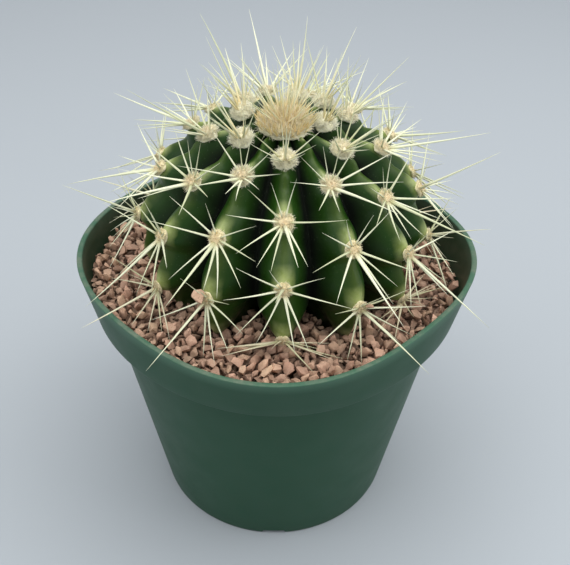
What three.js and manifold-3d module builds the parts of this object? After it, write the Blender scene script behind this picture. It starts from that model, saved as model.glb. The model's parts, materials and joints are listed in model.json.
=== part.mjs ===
// A young golden barrel cactus growing in a round-cornered plastic nursery pot.
// Millimetres, +Z up. The origin is the centre of the circle that the pot's foot stands on.
import * as THREE from 'three';
import { mergeVertices } from 'three/addons/utils/BufferGeometryUtils.js';
import Module from 'manifold-3d';

const wasm = await Module();
wasm.setup();

// Pot
const rimRadius = 57; // outer radius of the rim, half way between a corner and a flat
const potHeight = 87.6;
const rimSquareness = 0.0335; // share of the radius by which the rim's four corners stand out
const bandHeight = 15; // the upright band under the rim
const bandTaper = 2.9; // how much the band narrows from the rim to its lower edge
const bandFootSquareness = 0.0117;
const shoulderStep = 4; // step inwards under the band
const footRadius = 38;
const lipWidth = 1.6;
const wallThickness = 1.2;
const floorThickness = 1.4;
const footHeight = 2; // the floor stands this far above the surface, on the foot ring
const footRingWidth = 2.4;
const edgeRadius = 0.6; // chamfer on the rim and the foot
const drainCount = 4;
const drainWidth = 8.2; // notch through the foot ring
const drainLength = 7; // hole in the floor behind each notch
const potSegments = 64;

// Potting mix and grit dressing
const fillClearance = 0.35; // between any filling and the wall
const plantClearance = 0.7; // between any filling and the plant
const gritDepth = 6; // from the rim down to the grit, at the centre
const gritFallRight = 2.2; // extra depth at the right wall, less at the left one
const gritFallBack = 2.4; // extra depth at the back wall, less at the front one
const gritFloor = 13.4; // from the rim down to the underside of the grit

// Cactus body
const growingRoom = 13.6; // from the inside of the rim in to the rib noses
const bodyRise = 36.8; // from the widest level up to the crown
const bodyDrop = 24; // from the widest level down to the base, buried in the pot
const equatorRise = 6.1; // the widest level stands this far above the rim
const crownFullness = 2.14; // 2 is an ellipse, more is flatter on top
const plantOffset = 1.7; // the plant stands a little to the right of the pot's axis
const plantLean = 4.9; // degrees by which the plant leans towards the front
const ribCount = 13;
const valleyShare = 0.56; // depth of a valley as a share of the distance between two ribs
const noseHeight = 2.4; // swell of a rib towards each areole
const noseBack = 0.26; // share of a pitch over which the rib falls away under an areole
const shoulderWidening = 0.3; // how much broader a rib is above an areole than under it
const footNarrowing = 0.8; // how much the ribs sharpen from the widest level to the grit
const ribTurn = 0.8; // degrees by which ribs stray from an even spacing
const rowsShown = 3.92; // pitches from the first areole of all down to the grit
const firstAreole = 10.4; // from the crown's centre to the first areole of all
const ribStart = [0.345, 0.887, 0.452, 0, 0.458, 0.315, 0.22, 0.69, 0.405, 0.095, 0.607, 0.19, 0.744];
const areolesOnRib = [4, 3, 4, 4, 4, 4, 4, 3, 4, 4, 3, 4, 3];
const lowestAreole = 1.2; // an areole stays at least this far above the grit

// Areoles and spines
const padRadiusYoung = 2.9; // felt pad beside the crown
const padRadiusOld = 1.7; // felt pad at the grit
const padGap = 0.35;
const spineScale = 1;
const crownLift = 40; // degrees by which spines beside the crown stand up more than old ones
const spineGap = 0.35;
const mostTries = 120;
const overhang = 0.9; // furthest that a tip may reach outside the rim's corners
const centralSpine = { turn: 180, lift: 36, length: 25, thickness: 1.3 };
const secondSpine = { turn: 164, lift: 24, length: 15, thickness: 0.9 };
const pairedSpines = [
  { turn: 126, lift: 20, length: 17, thickness: 0.9 },
  { turn: 92, lift: 20, length: 17, thickness: 0.9 },
  { turn: 150, lift: 20, length: 15, thickness: 0.8 },
  { turn: 56, lift: 24, length: 14, thickness: 0.7 },
  { turn: 20, lift: 34, length: 11, thickness: 0.6 },
];

// Crown tuft
const crownGap = 1.1; // between the tuft and the first areole's pad
const crownHeight = 4.5;
const crownSpines = 36;
const crownSpineLength = 17;
const crownSpineThickness = 0.7;
const crownLean = 48; // degrees from upright at the tuft's edge

const turnOf = (degrees) => THREE.MathUtils.degToRad(degrees);
const share = (value) => value - Math.floor(value);
const mix = THREE.MathUtils.lerp;
const clamp = THREE.MathUtils.clamp;

// Repeatable random numbers from 0 to 1.
function randomFrom(seed) {
  let state = seed;
  return () => {
    state = (state + 0x6d2b79f5) | 0;
    let value = Math.imul(state ^ (state >>> 15), 1 | state);
    value = (value + Math.imul(value ^ (value >>> 7), 61 | value)) ^ value;
    return ((value ^ (value >>> 14)) >>> 0) / 4294967296;
  };
}

// A closed surface through rings of points, ended by a single point at each end.
function skin(start, rings, end) {
  const around = rings[0].length;
  const points = [start, ...rings.flat(), end];
  const last = points.length - 1;
  const faces = [];
  for (let j = 0; j < around; j += 1) {
    const next = (j + 1) % around;
    faces.push(0, 1 + next, 1 + j);
    for (let i = 0; i + 1 < rings.length; i += 1) {
      const low = 1 + i * around;
      const high = low + around;
      faces.push(low + j, low + next, high + next);
      faces.push(low + j, high + next, high + j);
    }
    faces.push(last, last - around + j, last - around + next);
  }
  const geometry = new THREE.BufferGeometry().setFromPoints(points);
  geometry.setIndex(faces);
  return geometry;
}

function toSolid(geometry) {
  const bare = geometry.clone();
  bare.deleteAttribute('normal');
  bare.deleteAttribute('uv');
  const merged = mergeVertices(bare, 1e-4);
  return new wasm.Manifold(
    new wasm.Mesh({
      numProp: 3,
      vertProperties: new Float32Array(merged.attributes.position.array),
      triVerts: new Uint32Array(merged.index.array),
    }),
  );
}

function toGeometry(solid) {
  const mesh = solid.getMesh();
  const geometry = new THREE.BufferGeometry();
  geometry.setAttribute('position', new THREE.BufferAttribute(mesh.vertProperties, 3));
  geometry.setIndex(new THREE.BufferAttribute(mesh.triVerts, 1));
  geometry.computeVertexNormals();
  return geometry;
}

const group = new THREE.Group();

function addPiece(name, geometry, colour, roughness) {
  const material = new THREE.MeshStandardMaterial({ color: colour, roughness, metalness: 0 });
  const mesh = new THREE.Mesh(geometry, material);
  mesh.name = name;
  group.add(mesh);
}

// ---- Pot -------------------------------------------------------------------------------------

const bandFoot = potHeight - bandHeight;
const bandFootRadius = rimRadius - bandTaper;
const shoulderRadius = bandFootRadius - shoulderStep;
const floorTop = footHeight + floorThickness;

// How far the outline is from a circle at a height: most at the rim, none at the foot.
function squarenessAt(z) {
  if (z > bandFoot) {
    return mix(bandFootSquareness, rimSquareness, (z - bandFoot) / bandHeight);
  }
  return bandFootSquareness * clamp(z / bandFoot, 0, 1);
}

// Mean radius of the inside of the wall at a height.
function innerRadiusAt(z) {
  if (z > bandFoot + wallThickness) {
    const up = (z - bandFoot) / bandHeight;
    return mix(bandFootRadius - wallThickness, rimRadius - lipWidth, up);
  }
  return mix(footRadius, shoulderRadius, z / bandFoot) - wallThickness;
}

function potRing(radius, z) {
  const squareness = squarenessAt(z);
  return Array.from({ length: potSegments }, (_, j) => {
    const angle = (j / potSegments) * 2 * Math.PI;
    const r = radius * (1 + squareness * Math.cos(4 * angle));
    return new THREE.Vector3(r * Math.cos(angle), r * Math.sin(angle), z);
  });
}

function potSolid() {
  const ledge = bandFoot + wallThickness;
  const rings = [
    potRing(footRadius - footRingWidth - 0.6, footHeight),
    potRing(footRadius - footRingWidth, 0),
    potRing(footRadius - edgeRadius, 0),
    potRing(footRadius, edgeRadius),
    potRing(shoulderRadius, bandFoot - 0.4),
    potRing(bandFootRadius - edgeRadius, bandFoot),
    potRing(bandFootRadius, bandFoot + edgeRadius),
    potRing(rimRadius, potHeight - edgeRadius),
    potRing(rimRadius - edgeRadius / 2, potHeight),
    potRing(rimRadius - lipWidth, potHeight),
    potRing(innerRadiusAt(ledge + 0.01), ledge + 0.01),
    potRing(innerRadiusAt(ledge - 0.01), ledge - 0.4),
    potRing(innerRadiusAt(floorTop), floorTop),
  ];
  const start = new THREE.Vector3(0, 0, footHeight);
  const end = new THREE.Vector3(0, 0, floorTop);
  return toSolid(skin(start, rings, end));
}

// A notch under the foot ring that runs inwards to a hole up through the floor.
function drainSolid(angle) {
  const notch = new THREE.Shape();
  notch.moveTo(-drainWidth / 2, -1);
  notch.lineTo(drainWidth / 2, -1);
  notch.lineTo(drainWidth / 2, 0);
  notch.lineTo(drainWidth / 2 - footHeight * 0.4, footHeight * 0.9);
  notch.lineTo(-drainWidth / 2 + footHeight * 0.4, footHeight * 0.9);
  notch.lineTo(-drainWidth / 2, 0);
  const reach = footRingWidth + drainLength;
  const channel = new THREE.ExtrudeGeometry(notch, { depth: reach, bevelEnabled: false });
  channel.rotateX(Math.PI / 2);
  channel.translate(0, footRadius + 2, 0);
  const hole = new THREE.BoxGeometry(drainWidth * 0.7, drainLength, floorTop * 2);
  hole.translate(0, footRadius - footRingWidth - 1.5 - drainLength / 2, floorTop);
  const cutter = toSolid(channel).add(toSolid(hole));
  return cutter.rotate([0, 0, THREE.MathUtils.radToDeg(angle) - 90]);
}

let pot = potSolid();
for (let i = 0; i < drainCount; i += 1) {
  pot = pot.subtract(drainSolid(((i + 0.5) / drainCount) * 2 * Math.PI + Math.PI / 4));
}
addPiece('pot', toGeometry(pot), 0x35594a, 0.5);

// ---- Cactus body -----------------------------------------------------------------------------

const equator = potHeight + equatorRise;
const bodyRadius = rimRadius - lipWidth - growingRoom;

// The outline of the rib noses, from the crown (0) over the widest level (0.5) to the base (1).
function outlineAt(part) {
  const angle = part * Math.PI;
  if (part > 0.5) {
    return new THREE.Vector2(
      bodyRadius * Math.sin(angle),
      equator + bodyDrop * Math.cos(angle),
    );
  }
  const power = 2 / crownFullness;
  return new THREE.Vector2(
    bodyRadius * Math.sin(angle) ** power,
    equator + bodyRise * Math.cos(angle) ** power,
  );
}

// The same outline stepped by its own length, so that areoles can be spaced along it.
const outlineSteps = 1200;
const outline = [{ point: outlineAt(0), length: 0 }];
for (let i = 1; i <= outlineSteps; i += 1) {
  const point = outlineAt(i / outlineSteps);
  const before = outline[i - 1];
  outline.push({ point, length: before.length + point.distanceTo(before.point) });
}
const outlineLength = outline[outlineSteps].length;

function outlinePoint(length) {
  let low = 0;
  let high = outlineSteps;
  while (high - low > 1) {
    const middle = (low + high) >> 1;
    if (outline[middle].length < length) low = middle;
    else high = middle;
  }
  const from = outline[low];
  const to = outline[high];
  const part = (length - from.length) / (to.length - from.length);
  return from.point.clone().lerp(to.point, clamp(part, 0, 1));
}

function outlineNormal(length) {
  const ahead = outlinePoint(Math.min(length + 0.5, outlineLength));
  const behind = outlinePoint(Math.max(length - 0.5, 0));
  const along = ahead.sub(behind).normalize();
  return new THREE.Vector2(-along.y, along.x);
}

const lengthDownTo = (z) => outline.findLast((step) => step.point.y > z).length;
const gritLine = lengthDownTo(potHeight - gritDepth);
const widestLine = lengthDownTo(equator);
const areolePitch = (gritLine - firstAreole) / rowsShown;

// Angle of a rib's crest; rib 0 faces the front, and the count runs towards the right.
function ribAngle(rib) {
  const stray = ribTurn * Math.sin(2.4 * (rib % ribCount));
  return -Math.PI / 2 + (rib / ribCount) * 2 * Math.PI + turnOf(stray);
}

const ribOffset = (rib) => firstAreole + ribStart[rib % ribCount] * areolePitch;

// 1 at an areole, -1 where the rib has fallen away under it; the phase runs from 0 to 1.
function noseSwell(phase) {
  if (phase < noseBack) return Math.cos((phase / noseBack) * Math.PI);
  return -Math.cos(((phase - noseBack) / (1 - noseBack)) * Math.PI);
}

// The plant stands upright in its own axes and leans about the middle of its widest level.
const leanPivot = new THREE.Vector3(plantOffset, 0, equator);
const leanAxis = new THREE.Vector3(1, 0, 0);
const leanTurn = turnOf(plantLean);
const leaned = (direction) => direction.applyAxisAngle(leanAxis, leanTurn);
const leanedPoint = (point) => leaned(point.sub(leanPivot)).add(leanPivot);

// A point of the skin: across runs from -1, one valley, over the crest at 0, to 1, the next.
function uprightPoint(rib, across, length) {
  const point = outlinePoint(length);
  const normal = outlineNormal(length);
  const phase = share((length - ribOffset(rib)) / areolePitch);
  const swell = noseSwell(phase);
  const fade = clamp(length / 20, 0, 1) ** 2;
  const widening = shoulderWidening * Math.cos(2 * Math.PI * (phase - 0.76)) * fade;
  const low = clamp((length - widestLine) / (gritLine - widestLine), 0, 1);
  const sharpness = 1 - widening + footNarrowing * low;
  const crest = Math.cos((Math.abs(across) * Math.PI) / 2) ** sharpness;
  const valley = (valleyShare * 2 * Math.PI * point.x) / ribCount;
  const inwards = valley * (1 - crest) + noseHeight * fade * (1 - swell) * 0.5 * crest;
  const radius = Math.max(point.x - normal.x * inwards, 0);
  let gap = ribAngle(rib + Math.sign(across) + ribCount) - ribAngle(rib);
  gap -= Math.round(gap / (2 * Math.PI)) * 2 * Math.PI;
  const angle = ribAngle(rib) + (Math.abs(across) * gap) / 2;
  return new THREE.Vector3(
    plantOffset + radius * Math.cos(angle),
    radius * Math.sin(angle),
    point.y - normal.y * inwards,
  );
}

const bodyPoint = (rib, across, length) => leanedPoint(uprightPoint(rib, across, length));

const acrossSteps = [-0.5, 0, 0.5, 1];
const visibleRows = 21;
const buriedRows = 7;

function bodyRing(length) {
  const ring = [];
  for (let rib = 0; rib < ribCount; rib += 1) {
    for (const across of acrossSteps) ring.push(bodyPoint(rib, across, length));
  }
  return ring;
}

function bodyGeometry() {
  const rings = [];
  for (let i = visibleRows; i > 0; i -= 1) rings.unshift(bodyRing((gritLine * i) / visibleRows));
  for (let i = 1; i < buriedRows; i += 1) {
    rings.push(bodyRing(mix(gritLine, outlineLength, i / buriedRows)));
  }
  const top = leanedPoint(new THREE.Vector3(plantOffset, 0, equator + bodyRise));
  const base = leanedPoint(new THREE.Vector3(plantOffset, 0, equator - bodyDrop));
  return skin(base, rings.reverse(), top);
}

const bodySkin = bodyGeometry();
bodySkin.computeVertexNormals();
addPiece('cactus_body', bodySkin, 0x3f6f2c, 0.45);

// The room that the filling leaves for the plant.
function plantRoom(clearance) {
  const geometry = bodySkin.clone();
  const { position, normal } = geometry.attributes;
  for (let i = 0; i < position.count; i += 1) {
    position.setXYZ(
      i,
      position.getX(i) + normal.getX(i) * clearance,
      position.getY(i) + normal.getY(i) * clearance,
      position.getZ(i) + normal.getZ(i) * clearance,
    );
  }
  return toSolid(geometry);
}

// ---- Potting mix and grit --------------------------------------------------------------------

function gritTop(x, y) {
  const right = clamp(x / rimRadius, -1, 1);
  const back = clamp(y / rimRadius, -1, 1);
  return potHeight - gritDepth - gritFallRight * right - gritFallBack * back;
}

const room = plantRoom(plantClearance);
const gritBottom = potHeight - gritFloor;

function gritGeometry() {
  const bottom = potRing(innerRadiusAt(gritBottom) - fillClearance, gritBottom);
  const top = bottom.map((_, j) => {
    let z = potHeight - gritDepth;
    for (let i = 0; i < 3; i += 1) {
      const level = potRing(innerRadiusAt(z) - fillClearance, z)[j];
      z = gritTop(level.x, level.y);
    }
    return potRing(innerRadiusAt(z) - fillClearance, z)[j];
  });
  const start = new THREE.Vector3(0, 0, gritBottom);
  const end = new THREE.Vector3(0, 0, gritTop(0, 0));
  return skin(start, [bottom, top], end);
}

function mixGeometry() {
  const shoulder = bandFoot + wallThickness - 0.4 - fillClearance;
  const top = gritBottom - 0.3;
  const rings = [
    potRing(innerRadiusAt(floorTop) - fillClearance, floorTop + 0.3),
    potRing(innerRadiusAt(shoulder) - fillClearance, shoulder),
    potRing(innerRadiusAt(shoulder) - fillClearance, top),
  ];
  const start = new THREE.Vector3(0, 0, floorTop + 0.3);
  const end = new THREE.Vector3(0, 0, top);
  return skin(start, rings, end);
}

addPiece('grit', toGeometry(toSolid(gritGeometry()).subtract(room)), 0xc9a48f, 0.9);
addPiece('potting_mix', toGeometry(toSolid(mixGeometry()).subtract(room)), 0x4a3a2c, 0.95);

// ---- Areoles and spines ----------------------------------------------------------------------

// Where each areole sits, with axes out of the skin, up the rib and to the right along the skin.
function areoleAt(rib, row) {
  let length = ribOffset(rib) + row * areolePitch;
  let point = bodyPoint(rib, 0, length);
  while (point.z < gritTop(point.x, point.y) + lowestAreole) {
    length -= 0.2;
    point = bodyPoint(rib, 0, length);
  }
  const normal = outlineNormal(length);
  const angle = ribAngle(rib);
  const out = new THREE.Vector3(
    normal.x * Math.cos(angle),
    normal.x * Math.sin(angle),
    normal.y,
  );
  const right = new THREE.Vector3(-Math.sin(angle), Math.cos(angle), 0);
  leaned(out);
  leaned(right);
  const up = new THREE.Vector3().crossVectors(out, right);
  const age = clamp((length - firstAreole) / (gritLine - firstAreole), 0, 1);
  return { rib, row, point, out, up, right, age, padRadius: mix(padRadiusYoung, padRadiusOld, age) };
}

const crownRadius = firstAreole - padRadiusYoung - crownGap;

const areoles = [];
for (let rib = 0; rib < ribCount; rib += 1) {
  for (let row = 0; row < areolesOnRib[rib]; row += 1) areoles.push(areoleAt(rib, row));
}

// Closest distance between two tapering spines, less their thickness there.
function spineClearance(a, b) {
  const alongA = a.tip.clone().sub(a.root);
  const alongB = b.tip.clone().sub(b.root);
  const between = a.root.clone().sub(b.root);
  const aa = alongA.lengthSq();
  const bb = alongB.lengthSq();
  const ab = alongA.dot(alongB);
  const toA = alongA.dot(between);
  const toB = alongB.dot(between);
  const slant = aa * bb - ab * ab;
  let partA = slant > 1e-9 ? clamp((ab * toB - toA * bb) / slant, 0, 1) : 0;
  const partB = clamp((ab * partA + toB) / bb, 0, 1);
  partA = clamp((ab * partB - toA) / aa, 0, 1);
  const onA = a.root.clone().addScaledVector(alongA, partA);
  const onB = b.root.clone().addScaledVector(alongB, partB);
  const thick = (a.thickness * (1 - partA) + b.thickness * (1 - partB)) / 2;
  return onA.distanceTo(onB) - thick;
}

// Distance from a point to the plant's skin, measured from the middle of the widest level.
function skinClearance(point) {
  const own = point.clone().sub(leanPivot).applyAxisAngle(leanAxis, -leanTurn);
  const flat = Math.hypot(own.x, own.y);
  const high = own.z;
  let low = 0;
  let top = outlineSteps;
  const slope = Math.atan2(flat, high);
  while (top - low > 1) {
    const middle = (low + top) >> 1;
    const { point: at } = outline[middle];
    if (Math.atan2(at.x, at.y - equator) < slope) low = middle;
    else top = middle;
  }
  const { length } = outline[low];
  const angle = Math.atan2(own.y, own.x) + Math.PI / 2;
  const ribs = share(angle / (2 * Math.PI)) * ribCount;
  const rib = Math.round(ribs) % ribCount;
  const across = clamp((ribs - Math.round(ribs)) * 2, -1, 1);
  const at = uprightPoint(rib, across, length);
  const skinFlat = Math.hypot(at.x - plantOffset, at.y);
  return Math.hypot(flat, high) - Math.hypot(skinFlat, at.z - equator);
}

const outerReach = rimRadius * (1 + rimSquareness) + overhang;

// Smallest room around a spine: to the plant, the grit, the pot and the limit outside the rim.
function sceneryClearance(spine) {
  let room = Infinity;
  for (let i = 3; i <= 12; i += 1) {
    const at = spine.root.clone().lerp(spine.tip, i / 12);
    const thick = (spine.thickness / 2) * (1 - i / 12);
    room = Math.min(room, skinClearance(at) - thick + 0.2);
    room = Math.min(room, at.z - gritTop(at.x, at.y) - thick);
    const flat = Math.hypot(at.x, at.y);
    if (at.z < potHeight + 1 && flat > innerRadiusAt(at.z) * (1 - rimSquareness) - 1) {
      room = Math.min(room, at.z - potHeight - thick);
    }
    room = Math.min(room, outerReach - Math.abs(at.x), outerReach - Math.abs(at.y));
  }
  return room;
}

const grown = [];

function clearanceOf(spine) {
  let room = sceneryClearance(spine);
  for (const other of grown) {
    if (room < 0) return room;
    if (other.owner === spine.owner) continue;
    const apart = other.root.distanceTo(spine.root);
    if (apart < other.length + spine.length + 2) room = Math.min(room, spineClearance(spine, other));
  }
  for (const areole of areoles) {
    if (areole === spine.owner) continue;
    const pad = { root: areole.point, tip: areole.point.clone().add(areole.out), thickness: 0 };
    room = Math.min(room, spineClearance(spine, pad) - areole.padRadius);
  }
  return room;
}

// Tries a direction, then strays further from it, and upwards, until the spine has room.
function growSpine(owner, root, aim, wanted, random) {
  let best = null;
  for (let attempt = 0; attempt < mostTries; attempt += 1) {
    const stray = attempt / mostTries;
    const cut = 0.45 * Math.max(stray - 0.3, 0) + 1.2 * Math.max(stray - 0.6, 0);
    const length = wanted.length * spineScale * (1 - cut);
    const turn = wanted.turn + (random() - 0.5) * (10 + 60 * stray);
    const lift = wanted.lift + (random() - 0.35) * (6 + 70 * stray);
    const direction = aim(turn, Math.min(lift, 82));
    direction.z += stray * 1.3;
    const tip = root.clone().addScaledVector(direction.normalize(), length);
    const spine = { owner, root, tip, length, thickness: wanted.thickness };
    const room = clearanceOf(spine);
    if (!best || room > best.room) best = { spine, room };
    if (room > spineGap) break;
  }
  grown.push(best.spine);
  return best.spine;
}

// A three-sided needle from its thick root to a single point.
function needleSolid({ root, tip, thickness }) {
  const along = tip.clone().sub(root).normalize();
  const side = new THREE.Vector3(0, 0, 1).cross(along);
  if (side.lengthSq() < 1e-4) side.set(1, 0, 0);
  side.normalize();
  const other = new THREE.Vector3().crossVectors(along, side);
  const ring = [0, 1, 2].map((corner) => {
    const angle = (corner / 3) * 2 * Math.PI;
    return root
      .clone()
      .addScaledVector(side, (Math.cos(angle) * thickness) / 2)
      .addScaledVector(other, (Math.sin(angle) * thickness) / 2);
  });
  const geometry = new THREE.BufferGeometry().setFromPoints([...ring, tip]);
  geometry.setIndex([0, 2, 1, 0, 1, 3, 1, 2, 3, 2, 0, 3]);
  return toSolid(geometry);
}

// A low dome that stands on a plane just clear of the skin.
function domeSolid(centre, out, up, right, radius, height, around) {
  const ringAt = (part, lift) =>
    Array.from({ length: around }, (_, j) => {
      const angle = (j / around) * 2 * Math.PI;
      return centre
        .clone()
        .addScaledVector(right, Math.cos(angle) * radius * part)
        .addScaledVector(up, Math.sin(angle) * radius * part)
        .addScaledVector(out, lift);
    });
  const low = padGap;
  const rings = [ringAt(1, low), ringAt(0.74, low + height * 0.7)];
  const start = centre.clone().addScaledVector(out, low);
  const end = centre.clone().addScaledVector(out, low + height);
  return toSolid(skin(start, rings, end));
}

function spinesOf(areole) {
  const random = randomFrom(101 + areole.rib * 17 + areole.row * 5);
  const grown = mix(0.9, 1, clamp(areole.age * 4, 0, 1));
  const worn = mix(1, 0.68, clamp(areole.age * 5 - 4, 0, 1));
  const size = grown * worn;
  const side = random() < 0.5 ? -1 : 1;
  const raised = crownLift * clamp(1 - areole.age * 3, 0, 1);
  const wanted = [centralSpine, { ...secondSpine, turn: secondSpine.turn * side }];
  for (const spine of pairedSpines) {
    wanted.push(spine, { ...spine, turn: -spine.turn });
  }
  const missing = [3 + Math.floor(random() * 9), 1 + Math.floor(random() * 14)];
  const root = areole.point.clone().addScaledVector(areole.out, padGap + areole.padRadius * 0.3);
  const aim = (turn, lift) =>
    new THREE.Vector3()
      .addScaledVector(areole.up, Math.cos(turnOf(turn)) * Math.cos(turnOf(lift)))
      .addScaledVector(areole.right, Math.sin(turnOf(turn)) * Math.cos(turnOf(lift)))
      .addScaledVector(areole.out, Math.sin(turnOf(lift)));
  return wanted
    .filter((_, i) => !missing.includes(i))
    .map((spine) => {
      const length = spine.length * size * (0.88 + 0.24 * random());
      const lift = spine.lift + raised;
      return growSpine(areole, root, aim, { ...spine, length, lift }, random);
    });
}

function crownTuft() {
  const random = randomFrom(7);
  const apex = leanedPoint(new THREE.Vector3(plantOffset, 0, equator + bodyRise));
  const out = leaned(new THREE.Vector3(0, 0, 1));
  const up = leaned(new THREE.Vector3(0, 1, 0));
  const right = new THREE.Vector3(1, 0, 0);
  let solid = domeSolid(apex, out, up, right, crownRadius, crownHeight, 16);
  for (let i = 0; i < crownSpines; i += 1) {
    const part = Math.sqrt((i + 0.5) / crownSpines);
    const around = i * 137.5;
    const root = apex
      .clone()
      .addScaledVector(right, Math.sin(turnOf(around)) * part * crownRadius * 0.8)
      .addScaledVector(up, Math.cos(turnOf(around)) * part * crownRadius * 0.8)
      .addScaledVector(out, padGap + crownHeight * 0.3);
    const aim = (turn, lift) =>
      new THREE.Vector3()
        .addScaledVector(up, Math.cos(turnOf(turn)) * Math.cos(turnOf(lift)))
        .addScaledVector(right, Math.sin(turnOf(turn)) * Math.cos(turnOf(lift)))
        .addScaledVector(out, Math.sin(turnOf(lift)));
    const wanted = {
      turn: around,
      lift: 88 - crownLean * part,
      length: crownSpineLength * (0.62 + 0.4 * random()) * mix(1, 0.8, part),
      thickness: crownSpineThickness,
    };
    solid = solid.add(needleSolid(growSpine('crown', root, aim, wanted, random)));
  }
  return solid;
}

addPiece('crown_tuft', toGeometry(crownTuft()), 0xd9bd7c, 0.85);

for (const areole of areoles) {
  const { point, out, up, right, padRadius } = areole;
  let solid = domeSolid(point, out, up, right, padRadius, padRadius * 0.65, 7);
  for (const spine of spinesOf(areole)) solid = solid.add(needleSolid(spine));
  const rib = String(areole.rib + 1).padStart(2, '0');
  addPiece(`spines_rib${rib}_${areole.row + 1}`, toGeometry(solid), 0xe6e2bd, 0.5);
}

export default group;
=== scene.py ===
import json
import math
import random

import bpy
import bmesh
import numpy as np
from mathutils import Matrix, Vector

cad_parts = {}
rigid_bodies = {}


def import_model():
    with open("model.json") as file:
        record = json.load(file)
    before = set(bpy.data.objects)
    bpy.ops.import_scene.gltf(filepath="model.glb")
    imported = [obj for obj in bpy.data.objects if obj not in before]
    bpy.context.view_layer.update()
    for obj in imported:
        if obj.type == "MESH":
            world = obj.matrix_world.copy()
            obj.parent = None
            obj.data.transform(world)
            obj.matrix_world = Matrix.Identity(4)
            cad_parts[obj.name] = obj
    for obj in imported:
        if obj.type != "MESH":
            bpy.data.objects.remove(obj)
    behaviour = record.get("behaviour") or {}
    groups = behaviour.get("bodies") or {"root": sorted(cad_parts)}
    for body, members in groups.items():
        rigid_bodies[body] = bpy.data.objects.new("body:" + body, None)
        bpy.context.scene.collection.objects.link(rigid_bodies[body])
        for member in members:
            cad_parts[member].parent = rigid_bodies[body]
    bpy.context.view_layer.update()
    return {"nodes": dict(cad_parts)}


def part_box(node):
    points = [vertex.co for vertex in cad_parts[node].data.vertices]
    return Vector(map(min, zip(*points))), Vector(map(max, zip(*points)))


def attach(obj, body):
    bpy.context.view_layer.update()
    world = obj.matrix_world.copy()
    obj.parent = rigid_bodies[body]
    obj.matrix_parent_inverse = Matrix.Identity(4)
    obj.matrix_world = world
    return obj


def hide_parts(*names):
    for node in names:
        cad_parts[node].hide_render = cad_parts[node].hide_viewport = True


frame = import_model()
mm = 0.001
scene = bpy.context.scene
scene.view_settings.view_transform = "Standard"


# small helpers

def smoothstep(value):
    value = np.clip(value, 0.0, 1.0)
    return value * value * (3.0 - 2.0 * value)


def fadeIn(value, start, end):
    return smoothstep((value - start) / (end - start))


def mix(a, b, part):
    return a + (b - a) * part


def unit(vectors):
    return vectors / np.maximum(np.linalg.norm(vectors, axis=-1, keepdims=True), 1e-12)


def makePiece(name, points, faces, values=None, smooth=True):
    # values holds one number per point under each name, for the materials to read
    mesh = bpy.data.meshes.new(name)
    mesh.from_pydata([tuple(p) for p in points], [], [tuple(f) for f in faces])
    for key, numbers in (values or {}).items():
        layer = mesh.attributes.new(key, "FLOAT", "POINT")
        layer.data.foreach_set("value", np.asarray(numbers, dtype=np.float32).ravel())
    mesh.polygons.foreach_set("use_smooth", [smooth] * len(mesh.polygons))
    mesh.update()
    piece = bpy.data.objects.new(name, mesh)
    scene.collection.objects.link(piece)
    return piece


def creaseEdges(piece, degrees):
    # keeps smooth shading but breaks it over the sharp edges
    form = bmesh.new()
    form.from_mesh(piece.data)
    for edge in form.edges:
        if len(edge.link_faces) == 2 and edge.calc_face_angle(0.0) > math.radians(degrees):
            edge.smooth = False
    form.to_mesh(piece.data)
    form.free()


# shader helpers and shared node groups

def addNode(tree, kind, **inputs):
    node = tree.nodes.new(kind)
    for key, value in inputs.items():
        if key in node.inputs.keys():
            node.inputs[key].default_value = value
        else:
            setattr(node, key, value)
    return node


def addMath(tree, operation, first, second=None, clamp=False):
    node = tree.nodes.new("ShaderNodeMath")
    node.operation = operation
    node.use_clamp = clamp
    for socket, value in zip(node.inputs, (first, second)):
        if value is None:
            continue
        if isinstance(value, (int, float)):
            socket.default_value = value
        else:
            tree.links.new(value, socket)
    return node.outputs[0]


def mixColour(tree, mask, first, second, blend="MIX"):
    node = tree.nodes.new("ShaderNodeMix")
    node.data_type = "RGBA"
    node.blend_type = blend
    for socket, value in zip((node.inputs[0], node.inputs[6], node.inputs[7]), (mask, first, second)):
        if isinstance(value, (int, float)):
            socket.default_value = value
        elif isinstance(value, tuple):
            socket.default_value = (*value, 1.0)
        else:
            tree.links.new(value, socket)
    return node.outputs[2]


def remap(tree, value, low, high, newLow=0.0, newHigh=1.0):
    node = tree.nodes.new("ShaderNodeMapRange")
    node.inputs["From Min"].default_value = low
    node.inputs["From Max"].default_value = high
    node.inputs["To Min"].default_value = newLow
    node.inputs["To Max"].default_value = newHigh
    tree.links.new(value, node.inputs["Value"])
    return node.outputs["Result"]


def readValue(tree, name):
    node = tree.nodes.new("ShaderNodeAttribute")
    node.attribute_name = name
    return node.outputs["Fac"]


def scaled(tree, value, amount):
    return addMath(tree, "MULTIPLY", value, amount)


def tint(tree, colour, mask, amount, other):
    # turns the colour towards the other one where the mask is high, by amount at most
    return mixColour(tree, scaled(tree, mask, amount), colour, other)


def feed(group, given, node, *names):
    for name in names:
        group.links.new(given.outputs[name], node.inputs[name])


def startGroup(name, numbers):
    group = bpy.data.node_groups.new(name, "ShaderNodeTree")
    group.interface.new_socket("Vector", in_out="INPUT", socket_type="NodeSocketVector")
    for key, value in numbers.items():
        socket = group.interface.new_socket(key, in_out="INPUT", socket_type="NodeSocketFloat")
        socket.default_value = value
    group.interface.new_socket("Value", in_out="OUTPUT", socket_type="NodeSocketFloat")
    return group, group.nodes.new("NodeGroupInput"), group.nodes.new("NodeGroupOutput")


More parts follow.
